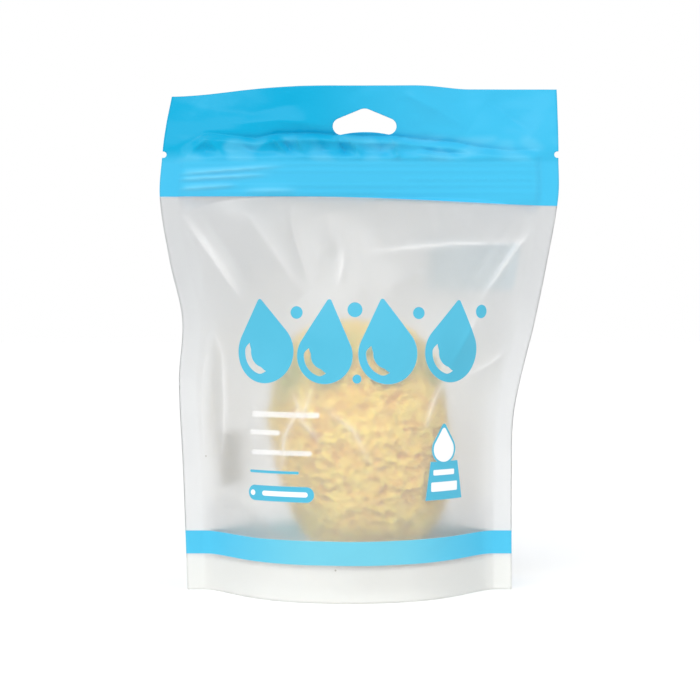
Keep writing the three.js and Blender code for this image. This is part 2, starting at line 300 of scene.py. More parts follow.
# Where the top weld ends: a wavy crease, with the loose film puffed out below it
WELD_FOOT = [
    (-67, 167), (-57, 172.6), (-39, 170.4), (-31, 172), (-18, 172.2), (2, 171.2), (14, 171), (22, 170),
    (36, 168.8), (46, 166.8), (58, 165.4), (69, 166.4),
]
WELD_PUFF = [(x, z - 2.7) for x, z in WELD_FOOT]

# Creases that the header's two films share
HEADER_FOLDS = [
    (WELD_FOOT, 1.1, -1.1),
    (WELD_PUFF, 1.7, 1.0),
    ([(-65, 162.6), (-58, 170.4), (-50, 162.6)], 1.2, 0.6),
    ([(-58, 168), (-57, 162.6)], 2.4, -0.3),
    ([(-46, 169), (-38, 164)], 2.0, -0.7),
    ([(-33.5, 171), (-27.6, 164)], 1.0, 1.0),
    ([(-29.5, 170.4), (-25, 165)], 1.3, -0.9),
    ([(-24.7, 171.4), (-20.7, 164)], 1.0, 0.9),
    ([(-15, 170), (-13, 164)], 1.8, -0.6),
    ([(-8.4, 170.8), (-4.4, 163.4)], 1.0, -1.0),
    ([(-5, 170.4), (1, 163.4)], 1.0, 1.0),
    ([(8, 169.6), (9, 164)], 1.6, -0.7),
    ([(12.3, 170.4), (15, 162.2)], 0.9, 1.0),
    ([(20, 167.6), (30, 164.6), (42, 164.4)], 1.5, -0.8),
    ([(20, 164.4), (34, 162.6)], 1.2, 0.7),
    ([(-67, 162.2), (-20, 162.9), (20, 162.3), (67, 161.6)], 1.1, 0.3),
    ([(16, 187), (30, 181), (42, 174)], 4.0, 1.2),
    ([(-62, 184), (-40, 180), (-20, 184)], 5.0, -0.8),
    ([(-50, 176), (-30, 177), (-12, 175)], 3.0, 0.6),
    ([(48, 186), (58, 178), (66, 172)], 4.0, -0.8),
]

# Ribs of the press-to-close strip that press through the film at its left end, and a tuck at their end
ZIP_FOLDS = [
    ([(-72, 156.2), (-29, 159.6)], 0.55, 1.3),
    ([(-73, 154.2), (-34, 156.4)], 0.55, 1.2),
    ([(-72, 150.6), (-46, 152.4)], 0.6, 1.2),
    ([(-44, 150.4), (-23, 150.6)], 1.5, 0.8),
    ([(-25.4, 151), (-25.2, 142)], 0.6, -0.35),
    ([(68, 159), (67, 147)], 0.8, 0.2),
]
# this whitening is partly wear and partly a painted highlight
NARROW = 2.1  # a raised crease narrower than this whitens the film
ZIP_RIBS = (149.6, 152.4, 157.8, 160.4)
CRIMP = {"z": 154.6, "start": 15.0, "end": 66.0, "pitch": 2.8}


def zip_relief(x, z):
    """The press-to-close strip through the film: its pressed ribs at the left, fine level ribs all along,
    and a row of small crimps at the right."""
    pressed = sum(fold(x, z, *crease) for crease in ZIP_FOLDS)
    level = sum(np.exp(-(((z - height) / 0.6) ** 2)) for height in ZIP_RIBS)
    past_start = smoothstep(CRIMP["start"], CRIMP["start"] + 4, x)
    before_end = smoothstep(CRIMP["end"] + 4, CRIMP["end"], x)
    row = np.exp(-(((z - CRIMP["z"]) / 0.6) ** 2)) * past_start * before_end
    dots = 0.5 + 0.5 * np.cos(2 * np.pi * x / CRIMP["pitch"])
    return (pressed + 0.16 * level + 0.35 * row * dots) * smoothstep(0, 3, from_seal(x, z))


def window_relief(x, z, side, wrinkle):
    """How far the film below the header stands out from the plain arc: its creases and two sizes of soft
    wrinkle. It dies out at the side seals, the header and the bottom rim."""
    inside = smoothstep(-1, 6, from_seal(x, z))
    creases = sum(fold(x, z, *crease) for crease in (FRONT_FOLDS if side < 0 else BACK_FOLDS))
    slow_places = np.stack([x / 17, z / 24, np.full_like(x, 5.0 * side)], axis=-1)
    slow = layered_noise(slow_places, 11 + side, layers=2)
    fine_places = np.stack([(x + 0.2 * z) / 6.5, z / 10, np.full_like(x, 3.0 * side)], axis=-1)
    fine = layered_noise(fine_places, 29 + side, layers=2)
    ends = smoothstep(3, 16, z) * smoothstep(149, 141, z)
    return inside * ends * (FOLD_STRENGTH * creases + wrinkle * (0.8 * slow + 0.14 * fine))


def header_relief(x, z):
    """How far the header's two films are pushed to the front together: shared creases and slow waves."""
    creases = CRUMPLE_STRENGTH * sum(fold(x, z, *crease) for crease in HEADER_FOLDS)
    creases = creases * smoothstep(-3, 4, from_seal(x, z))
    places = np.stack([x / 19, z / 13, np.full_like(x, 9.0)], axis=-1)
    waves = 0.5 * layered_noise(places, 61, layers=3)
    return (creases + waves) * smoothstep(TAPE_TOP - 0.5, TAPE_TOP + 2.5, z)


def crease_wear_and_highlight(x, z, side):
    """Where the film is whitened along its narrow raised creases, from 0 to 1: partly wear, and partly a
    painted highlight on the crease tops.
    """
    creases = FRONT_FOLDS + ZIP_FOLDS if side < 0 else BACK_FOLDS
    raised = [crease for crease in creases if crease[1] < NARROW and crease[2] > 0]
    lines = sum(fold(x, z, route, 0.7, min(height, 1.0)) for route, _, height in raised)
    return np.clip(lines * smoothstep(0, 6, from_seal(x, z)), 0, 1)


# ---------------------------------------------------------------- meshes

def mesh_object(name, points, faces, film_map=None):
    """An object at the origin from points in millimetres and four-cornered or three-cornered faces."""
    mesh = bpy.data.meshes.new(name)
    mesh.from_pydata((points * MM).tolist(), [], faces)
    mesh.polygons.foreach_set("use_smooth", np.ones(len(mesh.polygons), bool))
    if film_map is not None:
        corners = np.zeros(len(mesh.loops), np.int32)
        mesh.loops.foreach_get("vertex_index", corners)
        for title, places in film_map.items():
            layer = mesh.uv_layers.new(name=title)
            layer.data.foreach_set("uv", places[corners].astype(np.float32).ravel())
    mesh.validate()
    mesh.update()
    made = bpy.data.objects.new(name, mesh)
    bpy.context.scene.collection.objects.link(made)
    return made


def grid_faces(rows, columns, first=0, flip=False):
    """The four-cornered faces of a grid of points kept row by row."""
    r, c = np.meshgrid(np.arange(rows - 1), np.arange(columns - 1), indexing="ij")
    a = (first + r * columns + c).ravel()
    quads = np.stack([a, a + 1, a + columns + 1, a + columns], axis=1)
    return quads[:, ::-1] if flip else quads


def film_shell(middle, thickness):
    """A closed thin wall round a grid of middle points: the grid moved half the thickness out and half in
    along its own normals, and joined round its four edges. Its outer side is where the grid's rows
    crossed with its columns points."""
    rows, columns = middle.shape[:2]
    normals = np.cross(np.gradient(middle, axis=1), np.gradient(middle, axis=0))
    normals /= np.maximum(np.linalg.norm(normals, axis=2, keepdims=True), 1e-12)
    points = np.concatenate([
        (middle + normals * thickness / 2).reshape(-1, 3),
        (middle - normals * thickness / 2).reshape(-1, 3),
    ])
    count = rows * columns
    index = np.arange(count).reshape(rows, columns)
    ring = np.concatenate([index[0, :-1], index[:-1, -1], index[-1, :0:-1], index[:0:-1, 0]])
    following = np.roll(ring, -1)
    rim = np.stack([ring, ring + count, following + count, following], axis=1)
    faces = np.concatenate([grid_faces(rows, columns), grid_faces(rows, columns, count, flip=True), rim])
    return points, faces.tolist()


def panel_heights(rows):
    """The rows' heights, a little closer together from the zip up, where the film is most crumpled."""
    return np.interp(np.linspace(0, 1, rows), (0, 0.6, 1), (0, 141, POUCH_HEIGHT))


def panel_middle(side, settings):
    """The middle surface of one panel, row by row from the rim to the top, with its two masks. Across each
    row lie the left weld, the bulging film, evenly along its arc, and the right weld. Returns the points,
    each point's place on the flat film, its crease mask, which whitens the film as wear and paints a
    highlight, and its nearness to the bottom rim."""
    z = panel_heights(settings.panel_rows)[:, None]
    start, end, radius, angle, _ = cross_section(z)
    weld = np.linspace(0, 1, settings.weld_columns, endpoint=False)[None, :]
    arc = np.linspace(-1, 1, settings.panel_columns)[None, :]
    x = np.concatenate([
        left_edge(z) + SIDE_SEAL * weld,
        (start + end) / 2 + radius * np.sin(angle * arc),
        end + SIDE_SEAL * (1 - weld[:, ::-1]),
    ], axis=1)
    z = np.broadcast_to(z, x.shape)
    touching = mm(settings.film_thickness) / 2 + 0.02
    loose = smoothstep(0, 3, from_seal(x, z)) * smoothstep(168, 162, z)
    plane = touching + (CAD_PLANE - touching) * loose
    standing = stand_off(x, z)
    relief = np.maximum(window_relief(x, z, side, settings.wrinkle), -0.6 * standing)
    relief = relief + (zip_relief(x, z) if side < 0 else 0.4 * zip_relief(-x, z))
    back, down = curl(x, z)
    y = side * (plane + standing + relief) + back - header_relief(x, z)
    flat_place = np.stack([flat_x(x, z) / FLAT_WIDTH + 0.5, z / POUCH_HEIGHT], axis=-1)
    masks = np.stack([crease_wear_and_highlight(x, z, side), smoothstep(14, 11, z)], axis=-1)
    return np.stack([x, y, z - down], axis=-1), flat_place, masks


def arc_points(centre, radius, start, end, count):
    """Points along a circular arc, from one angle to another in degrees."""
    turn = np.radians(np.linspace(start, end, count))
    return np.stack([centre[0] + radius * np.cos(turn), centre[1] + radius * np.sin(turn)], axis=1)


def bend_points(start, control, end, count):
    """Points along a quadratic curve, without its two ends."""
    t = np.linspace(0, 1, count)[1:-1, None]
    start, control, end = (np.array(p, float) for p in (start, control, end))
    return start * (1 - t) ** 2 + control * 2 * t * (1 - t) + end * t * t


def hole_outline():
    """The hanging hole, anticlockwise from its foot: the right lobe, the gable's rounded top and the left
    lobe, joined by the straight lines that touch them, and the hollow foot."""
    lobe, apex = HOLE["lobe"], HOLE["apex"]
    foot = -HOLE["height"] / 2
    lobe_x, lobe_z, apex_z = HOLE["width"] / 2 - lobe, foot + lobe, -foot - apex
    drop = lobe_z - apex_z
    touch = math.degrees(math.atan2(drop, lobe_x) + math.acos((apex - lobe) / math.hypot(lobe_x, drop)))
    right = arc_points((lobe_x, lobe_z), lobe, -90, touch, 14)
    left = arc_points((-lobe_x, lobe_z), lobe, 180 - touch, 270, 14)
    return np.concatenate([
        right,
        arc_points((0, apex_z), apex, touch, 180 - touch, 14),
        left,
        bend_points(left[-1], (0, foot + 2 * HOLE["hollow"]), right[0], 14),
    ]) + np.array([HOLE["x"], HOLE["z"]])


def notch_outline(edge_x, side):
    """A tear notch: a slot with a round end, cut in from the side edge."""
    half = NOTCH["half_width"]
    end = arc_points((NOTCH["depth"] - half, 0), half, -90, 90, 12)
    outline = np.concatenate([[(-3, -half)], end, [(-3, half)]])
    outline[:, 0] *= side
    if side < 0:
        outline = outline[::-1]
    return outline + np.array([edge_x, NOTCH["z"]])


def cutter(outline):
    """A prism through the whole pouch with this outline in X and Z, given anticlockwise from the front."""
    count, reach = len(outline), 30.0
    front = np.stack([outline[:, 0], np.full(count, -reach), outline[:, 1]], axis=1)
    points = np.concatenate([front, front + np.array([0, 2 * reach, 0])])
    ring = np.arange(count)
    following = np.roll(ring, -1)
    sides = np.stack([ring, ring + count, following + count, following], axis=1).tolist()
    caps = [ring.tolist(), (ring[::-1] + count).tolist()]
    return mesh_object("cutter", points, sides + caps)


def cut(target, outlines):
    """Cuts each outline's prism out of the target, and leaves the target's mesh as it then is."""
    for outline in outlines:
        tool = cutter(outline)
        modifier = target.modifiers.new("cut", "BOOLEAN")
        modifier.operation = "DIFFERENCE"
        modifier.solver = "MANIFOLD"
        modifier.object = tool
        ready = target.evaluated_get(bpy.context.evaluated_depsgraph_get())
        shaped = bpy.data.meshes.new_from_object(ready)
        target.modifiers.clear()
        target.data = shaped
        bpy.data.objects.remove(tool)
    if len(target.data.polygons) < 1000:
        raise RuntimeError(f"{target.name} was lost in a cut")


def film_panel(name, side, settings):
    """One printed panel as a closed thin wall, with its hanging hole and its two tear notches."""
    grids = panel_middle(side, settings)
    if side > 0:
        grids = [grid[:, ::-1] for grid in grids]
    middle, flat_place, masks = grids
    points, faces = film_shell(middle, mm(settings.film_thickness))
    panel = mesh_object(name, points, faces, {
        "film_flat": np.tile(flat_place.reshape(-1, 2), (2, 1)),
        "film_wear_highlight_foot": np.tile(masks.reshape(-1, 2), (2, 1)),
    })
    cut(panel, [
        hole_outline(),
        notch_outline(left_edge(np.array(NOTCH["z"])), 1),
        notch_outline(right_edge(np.array(NOTCH["z"])), -1),
    ])
    return panel


def gusset_rim(x, thickness, z=0.0):
    """Half the distance between the gusset's two skirts, each against the inside of its panel."""
    return stand_off(x, z + 0 * x) + CAD_PLANE - thickness - 0.05 - 0.02 * z


def gusset_height(x, share, thickness):
    """The height of the gusset's floor, which arches up to a fold in the middle. The film's length from
    rim to fold is fixed. share is 0 at the fold and 1 at a skirt."""
    fold_height = np.sqrt(np.maximum(GUSSET**2 - gusset_rim(x, thickness) ** 2, SKIRT**2))
    return SKIRT + (fold_height - SKIRT) * (1 - np.abs(share) ** 1.5)


def gusset_middle(settings):
    """The gusset's middle surface: across each of its columns lie the front skirt, the floor and the back
    skirt. Soft pleats run along the fold."""
    thickness = mm(settings.film_thickness)
    ends = left_edge(0) + SIDE_SEAL + 1.0, right_edge(0) - SIDE_SEAL - 1.0
    x = np.linspace(*ends, settings.gusset_columns)[:, None]
    skirt = np.linspace(0.4, SKIRT, settings.skirt_rows, endpoint=False)[None, :]
    share = np.linspace(-1, 1, settings.floor_rows)[None, :]
    rim = gusset_rim(x, thickness, skirt)
    floor = gusset_height(x, share, thickness)
    y_floor = gusset_rim(x, thickness, SKIRT) * share
    places = np.stack([np.broadcast_to(x, floor.shape) / 14, y_floor / 9, floor * 0], axis=-1)
    floor = floor + 0.5 * layered_noise(places, 47, layers=3) * (1 - np.abs(share) ** 4)
    y = np.concatenate([-rim, y_floor, rim[:, ::-1]], axis=1)
    z = np.concatenate([0 * x + skirt, floor, 0 * x + skirt[:, ::-1]], axis=1)
    return np.stack([np.broadcast_to(x, y.shape), y, z], axis=-1)


# ---------------------------------------------------------------- the sponge

SPONGE = {"x": -0.6, "z": 57.0, "half_width": 36.0, "half_depth": 33.5, "half_height": 46.5}
ROUNDNESS = 2.8  # the power of its outline: 2 is an ellipsoid, and more is boxier
THIN_LEFT = {"share": 0.35, "start": -8.0, "end": -38.0}  # of its depth, lacking between two x places
CUT_LEFT = {"share": 0.24, "start": 75.0, "end": 25.0}  # of its left half's width, between two heights
SPACING = {"mouths": 13.0, "pores": 4.0, "threads": 4.4, "warp": 6.0}  # of its texture, in mm
FULL_HOLLOW = 3.2  # the depth in mm whose hollow mark is 1
FILM_CLEARANCE = 0.7  # from the middle of a film to the sponge that it presses


def press(points, wrinkle):
    """Keeps the sponge inside the pouch: each film presses its side flat where they meet, creases and all,
    and the gusset's floor carries it."""
    x, y, z = np.moveaxis(points, -1, 0)
    room = stand_off(x, z) + CAD_PLANE - FILM_CLEARANCE
    front = room + window_relief(x, z, -1, wrinkle)
    back = room + window_relief(x, z, 1, wrinkle)
    y = np.clip(y, -front, back)
    floor = gusset_height(x, np.clip(y / gusset_rim(x, 0.3), -1, 1), 0.3)
    return np.stack([x, y, np.maximum(z, floor + 1.3)], axis=-1)


def sponge_surface(settings, wrinkle):
    """The sponge as a function of longitude and latitude: a rounded block with soft lobes, as large each
    way as its half sizes, pressed by the films. Wide mouths and small pores at scattered seeds go in
    from there, and so do the hollows between folded noise layers, which leave ridges like matted fibre.
    Returns the points row by row from pole to pole and their depth below the outer form, from 0 to 1."""
    latitude = np.linspace(0, np.pi, settings.sponge_rows)[:, None]
    longitude = np.linspace(0, 2 * np.pi, settings.sponge_columns, endpoint=False)[None, :]
    way = np.stack([
        np.sin(latitude) * np.cos(longitude),
        np.sin(latitude) * np.sin(longitude),
        np.cos(latitude) + 0 * longitude,
    ], axis=-1)
    fullness = np.sum(np.abs(way) ** ROUNDNESS, axis=-1) ** (-1 / ROUNDNESS)
    lobes = 0.035 * np.sin(3.1 * way[..., 0] + 1.3) * np.sin(3.7 * way[..., 2] - 0.4)
    lobes = lobes + 0.03 * layered_noise(way * 2.2, 71, layers=2)
    half = np.array([SPONGE["half_width"], SPONGE["half_depth"], SPONGE["half_height"]])
    offset = half * (fullness * (0.955 + lobes))[..., None] * way
    height = SPONGE["z"] + offset[..., 2]
    cut_share = CUT_LEFT["share"] * smoothstep(CUT_LEFT["start"], CUT_LEFT["end"], height)
    offset[..., 0] *= np.where(way[..., 0] < 0, 1 - cut_share, 1)
    outer = offset + np.array([SPONGE["x"], 0, SPONGE["z"]])
    thin_share = THIN_LEFT["share"] * smoothstep(THIN_LEFT["start"], THIN_LEFT["end"], outer[..., 0])
    outer[..., 1] *= 1 - thin_share
    outer = press(outer, wrinkle)

    warp = np.stack([value_noise(outer / SPACING["warp"], seed) for seed in (5, 6, 7)], axis=-1)
    mouth, mouth_mark = nearest_seed(outer / SPACING["mouths"] + 0.2 * warp, 83)
    pore, pore_mark = nearest_seed(outer / SPACING["pores"] + 0.4 * warp, 97)
    threads = 1 - np.abs(layered_noise(outer / SPACING["threads"] + 0.9 * warp, 101, layers=3))
    depth = (
        settings.mouth_depth * (mouth_mark > 0.35) * smoothstep(0.42, 0.12, mouth)
        + settings.pore_depth * (pore_mark > 0.3) * smoothstep(0.46, 0.12, pore)
        + settings.thread_depth * (1 - smoothstep(0.3, 1.0, threads))
    )
    inward = -way * half / np.linalg.norm(way * half, axis=-1, keepdims=True)
    return outer + inward * depth[..., None], np.clip(depth / FULL_HOLLOW, 0, 1)


def ball_faces(rows, columns):
    """Faces of a longitude and latitude grid whose first and last rows are drawn together to poles."""
    index = 1 + np.arange((rows - 2) * columns).reshape(rows - 2, columns)
    along = np.roll(index, -1, axis=1)
    quads = np.stack([index[:-1], index[1:], along[1:], along[:-1]], axis=-1).reshape(-1, 4).tolist()
    last = 1 + (rows - 2) * columns
    top = [[0, int(a), int(b)] for a, b in zip(index[0], along[0])]
    bottom = [[last, int(b), int(a)] for a, b in zip(index[-1], along[-1])]
    return quads + top + bottom


def build_sponge(settings, wrinkle):
    """The sponge as one closed skin, with its depth kept as the attribute named hollow."""
    points, deep = sponge_surface(settings, wrinkle)
    inner = points[1:-1].reshape(-1, 3)
    poles = [points[0].mean(axis=0), points[-1].mean(axis=0)]
    everything = np.concatenate([poles[:1], inner, poles[1:]])
    depth = np.concatenate([[deep[0].mean()], deep[1:-1].ravel(), [deep[-1].mean()]])
    made = mesh_object("sponge_body", everything, ball_faces(*points.shape[:2]))
    layer = made.data.attributes.new("hollow", "FLOAT", "POINT")
    layer.data.foreach_set("value", depth.astype(np.float32))
    return made


# ---------------------------------------------------------------- materials

def linear(red, green, blue):
    """A colour as Blender keeps it, from its three 0 to 255 screen values."""
    screen = np.array([red, green, blue]) / 255
    light = np.where(screen <= 0.04045, screen / 12.92, ((screen + 0.055) / 1.055) ** 2.4)
    return tuple(float(v) for v in light)


class Graph:
    """A material's nodes. Each method adds one node and returns its output."""

    def __init__(self, name):
        self.material = bpy.data.materials.new(name)
        self.material.use_nodes = True
        self.tree = self.material.node_tree
        self.tree.nodes.clear()

    def add(self, kind, inputs=None, **settings):
        node = self.tree.nodes.new(kind)
        for key, value in settings.items():
            setattr(node, key, value)
        for key, value in (inputs or {}).items():
            if isinstance(value, bpy.types.NodeSocket):
                self.tree.links.new(value, node.inputs[key])
            else:
                node.inputs[key].default_value = value
        return node

    def math(self, operation, *values, clamp=False):
        inputs = dict(enumerate(values))
        return self.add("ShaderNodeMath", inputs, operation=operation, use_clamp=clamp).outputs[0]

    def vector(self, operation, *values):
        node = self.add("ShaderNodeVectorMath", dict(enumerate(values)), operation=operation)
        is_number = operation in ("LENGTH", "DISTANCE", "DOT_PRODUCT")
        return node.outputs["Value" if is_number else "Vector"]

    def ease(self, value, start, end, low=0.0, high=1.0):
        node = self.add("ShaderNodeMapRange", {
            "Value": value, "From Min": start, "From Max": end, "To Min": low, "To Max": high,
        }, interpolation_type="SMOOTHSTEP")
        return node.outputs[0]

    def mix(self, share, first, second):
        node = self.add("ShaderNodeMix", data_type="RGBA")
        for key, value in ((0, share), (6, first), (7, second)):
            if isinstance(value, bpy.types.NodeSocket):
                self.tree.links.new(value, node.inputs[key])
            elif key == 0:
                node.inputs[key].default_value = value
            else:
                node.inputs[key].default_value = (*value[:3], 1.0)
        return node.outputs[2]

    def noise(self, coordinates, scale, detail=3.0, roughness=0.5, distortion=0.0):
        return self.add("ShaderNodeTexNoise", {
            "Vector": coordinates, "Scale": scale, "Detail": detail, "Roughness": roughness,
            "Distortion": distortion,
        }).outputs["Fac"]

    def cover(self, *masks):
        """The union of several masks."""
        total = masks[0]
        for mask in masks[1:]:
            total = self.math("MAXIMUM", total, mask)
        return total

    def less(self, mask, taken):
        """A mask with another one taken out of it."""
        return self.math("MULTIPLY", mask, self.math("SUBTRACT", 1.0, taken))

    def choose(self, is_first, first, second):
        """One number where is_first is 1, and the other where it is 0."""
        node = self.add("ShaderNodeMix", {0: is_first, 2: second, 3: first})
        return node.outputs[0]

    def patch(self, place, centre, half_size, corner, soft=0.12):
        """A rounded rectangle's mask. place is in millimetres on the flat film."""
        offset = self.vector("ABSOLUTE", self.vector("SUBTRACT", place, (*centre, 0)))
        past = self.vector("SUBTRACT", offset, (half_size[0] - corner, half_size[1] - corner, 0))
        outside = self.vector("LENGTH", self.vector("MAXIMUM", past, (0, 0, 0)))
        return self.ease(outside, corner + soft, corner - soft)

    def disc(self, place, centre, radius, soft=0.12):
        distance = self.vector("DISTANCE", place, (*centre, 0))
        return self.ease(distance, radius + soft, radius - soft)

    def crescent(self, place, centre, radius, width, angle, soft=0.12):
        """Part of a ring, on the side that the angle in degrees points to, thinning out to both ends."""
        offset = self.vector("SUBTRACT", place, (*centre, 0))
        distance = self.vector("LENGTH", offset)
        turn = math.radians(angle)
        ahead = self.vector("DOT_PRODUCT", offset, (math.cos(turn), math.sin(turn), 0))
        fullness = self.ease(self.math("DIVIDE", ahead, distance), 0.45, 0.8)
        half_width = self.math("MULTIPLY", fullness, width / 2)
        off = self.math("ABSOLUTE", self.math("SUBTRACT", distance, radius))
        ring = self.ease(self.math("SUBTRACT", off, half_width), soft, -soft)
        return self.math("MULTIPLY", ring, self.ease(fullness, 0.0, 0.15))

    def trapezoid(self, place, centre, half_top, half_foot, half_height, soft=0.12):
        """An upright trapezoid's mask, with level top and foot."""
        offset = self.add("ShaderNodeSeparateXYZ", {0: self.vector("SUBTRACT", place, (*centre, 0))})
        flare = (half_foot - half_top) / (2 * half_height)
        reach = self.math("MULTIPLY_ADD", offset.outputs[1], -flare, (half_top + half_foot) / 2)
        across = self.math("SUBTRACT", self.math("ABSOLUTE", offset.outputs[0]), reach)
        up = self.math("SUBTRACT", self.math("ABSOLUTE", offset.outputs[1]), half_height)
        return self.ease(self.math("MAXIMUM", across, up), soft, -soft)

    def drop(self, place, centre, radius, length, tilt, soft=0.12):
        """A water drop's mask: a round foot and a small round tip, joined by the straight lines that touch
        both. centre is the foot's, length runs from there to the tip's, and tilt leans it, in degrees."""
        tip_radius = 0.9
        turn = math.radians(tilt)
        axis = (-math.sin(turn), math.cos(turn))
        slope = (radius - tip_radius) / length
        flank = math.sqrt(1 - slope**2)
        tip = (centre[0] + length * axis[0], centre[1] + length * axis[1], 0)
        offset = self.vector("SUBTRACT", place, (*centre, 0))
        up = self.vector("DOT_PRODUCT", offset, (*axis, 0))
        across = self.math("ABSOLUTE", self.vector("DOT_PRODUCT", offset, (axis[1], -axis[0], 0)))
        from_foot = self.math("SUBTRACT", self.vector("LENGTH", offset), radius)
        from_tip = self.math("SUBTRACT", self.vector("DISTANCE", place, tip), tip_radius)
        from_flank = self.math("MULTIPLY_ADD", across, flank, self.math("MULTIPLY_ADD", up, slope, -radius))
        reach = self.math("MULTIPLY_ADD", across, -slope, self.math("MULTIPLY", up, flank))
        at_tip = self.math("GREATER_THAN", reach, flank * length)
        at_foot = self.math("LESS_THAN", reach, 0.0)
        distance = self.choose(at_foot, from_foot, self.choose(at_tip, from_tip, from_flank))
        return self.ease(distance, soft, -soft)

    def finish(self, shader):
        self.tree.links.new(shader, self.add("ShaderNodeOutputMaterial").inputs["Surface"])
        return self.material


# Printing on the front, by where it shows on the standing pouch: the x and z of each centre come first.
DROPS = [  # then the foot's radius, the length and the lean in degrees
    (-34.6, 90.4, 11.6, 18.4, 6), (-12.6, 89.0, 10.2, 19.6, -5), (10.4, 89.6, 10.9, 19.2, 6),
    (34.0, 90.2, 11.2, 18.2, -7),
]
BUBBLES = [  # then the radius
    (-22.8, 104.6, 2.3), (-1.6, 105.6, 2.7), (21.6, 104.4, 2.2), (-0.9, 80.6, 1.6), (45.2, 105.0, 2.5),
]
WHITE_BARS = [(-27.2, 67.6, 13.2, 1.0), (-34.4, 61.0, 6.2, 0.9), (-28.6, 53.8, 12.0, 0.9)]  # then half sizes
SPECKS = [(-57.6, 50.6), (-8.6, 12.0)]  # of dust


def flat_place_of(x, z):
    """Where a place on the standing pouch lies on its flat film, from the film's upright middle line."""
    return float(flat_x(np.array(float(x)), np.array(float(z)))), float(z)


def band_masks(graph, across, height):
    """The header, whose lower edge dips to the right, and the stripe. Both run right across the film."""
    header_foot = graph.ease(across, -20.0, 85.0, 148.2, 144.7)
    header = graph.ease(graph.math("SUBTRACT", height, header_foot), -0.15, 0.15)
    low = graph.ease(height, 13.5, 13.8)
    high = graph.ease(height, 22.5, 22.2)
    return header, graph.math("MULTIPLY", low, high)


def front_print(graph, place):
    """The front's own blue and white printing: a row of water drops, a few plain rules, and a tag."""
    drops = []
    for x, z, radius, length, tilt in DROPS:
        centre = flat_place_of(x, z)
        shine = graph.crescent(place, centre, radius * 0.62, 2.6, 215)
        drops.append(graph.less(graph.drop(place, centre, radius, length, tilt), shine))
    bubbles = [graph.disc(place, flat_place_of(x, z), radius) for x, z, radius in BUBBLES]
    pill = graph.patch(place, flat_place_of(-28.9, 38.9), (13.2, 2.8), 2.8)
    rule = graph.patch(place, flat_place_of(-31.2, 46.7), (10.0, 0.5), 0.5)
    tag = graph.trapezoid(place, flat_place_of(31.2, 43.2), 6.2, 8.4, 7.0)
    hanger = flat_place_of(31.0, 54.6)
    hanger_outline = graph.drop(place, hanger, 5.4, 8.4, 0)
    hanger_inside = graph.drop(place, hanger, 4.6, 6.9, 0)
    white = [graph.patch(place, flat_place_of(x, z), (half, tall), 0.8) for x, z, half, tall in WHITE_BARS]
    marks = [
        graph.patch(place, flat_place_of(-27.2, 38.9), (9.0, 0.9), 0.9),
        graph.disc(place, flat_place_of(-38.8, 38.9), 1.0),
        graph.patch(place, flat_place_of(31.0, 46.2), (4.8, 1.0), 0.5),
        graph.patch(place, flat_place_of(31.2, 41.0), (6.0, 1.7), 0.5),
        hanger_inside,
    ]
    blue = graph.cover(*drops, *bubbles, pill, rule, tag, hanger_outline)
    specks = graph.cover(*[graph.disc(place, flat_place_of(x, z), 0.35) for x, z in SPECKS])
    faint = graph.math("MULTIPLY", graph.cover(*white), 0.5)
    return blue, graph.cover(faint, *marks), specks


def back_print(graph, place):
    """The back's printing: a pale blue panel with plain bars, and a plain grey patch."""
    panel = graph.patch(place, flat_place_of(44.0, 122.0), (18.0, 9.0), 2.0)
    patch = graph.patch(place, flat_place_of(-49.0, 49.0), (5.0, 10.0), 0.8)
    bars = [graph.patch(place, flat_place_of(44.0, height), (13.0, 1.0), 0.8) for height in (118, 122, 126)]
    return panel, graph.cover(*bars), patch


def header_colour(graph, film, place, crease, haze):
    """The header's blue. It is lighter to the right, as painted light from that side, and lighter over the
    zip and in soft random patches. It is paler along creases, where it is worn and a highlight is painted,
    and in painted lit facets in the loose film under the top weld."""
    across, height, _ = graph.add("ShaderNodeSeparateXYZ", {0: place}).outputs
    thin = graph.cover(
        # lighter to the right: painted light from that side
        graph.ease(across, -25.0, 35.0, 0.0, 0.75),
        graph.ease(height, 167.0, 160.0),
        graph.ease(haze, 0.5, 0.75, 0.0, 0.35),
    )
    loose = graph.math("MULTIPLY", graph.ease(height, 160.0, 163.0), graph.ease(height, 172.5, 169.0))
    facet_place = graph.vector("MULTIPLY", place, (0.07, 0.1, 0))
    # painted light: lighter noise facets in the loose film under the top weld, as if its crumples were lit
    painted_lit_facets = graph.ease(graph.noise(facet_place, 1.0, 1.0, 0.4, 0.4), 0.4, 0.65)
    worn_and_lit = graph.cover(
        graph.math("MULTIPLY", crease, 0.6),
        graph.math("MULTIPLY", graph.math("MULTIPLY", loose, painted_lit_facets), 0.25),
    )
    ink = graph.mix(thin, film.header_ink, film.header_ink_light)
    return graph.mix(worn_and_lit, ink, film.header_ink_worn_and_lit)


def bare_colour(graph, film, height, crease, foot, haze):
    """The unprinted film's colour: darker up near the header as painted shade, milkier in random patches,
    and pale along creases, as wear with a painted highlight, and at the foot, where two films lie together."""
    # painted shade: the film darkens towards the header by height alone; the haze part is random milky tone
    milky = graph.math("MULTIPLY_ADD", haze, 0.5, graph.ease(height, 70.0, 125.0, 0.0, 0.6))
    colour = graph.mix(milky, film.film_colour, film.film_shade)
    # creases are whitened as wear, and this also paints a highlight along them
    colour = graph.mix(graph.math("MULTIPLY", crease, 0.6), colour, (0.97, 0.97, 0.97))
    return graph.mix(graph.math("MULTIPLY", foot, 0.7), colour, film.foot_colour)


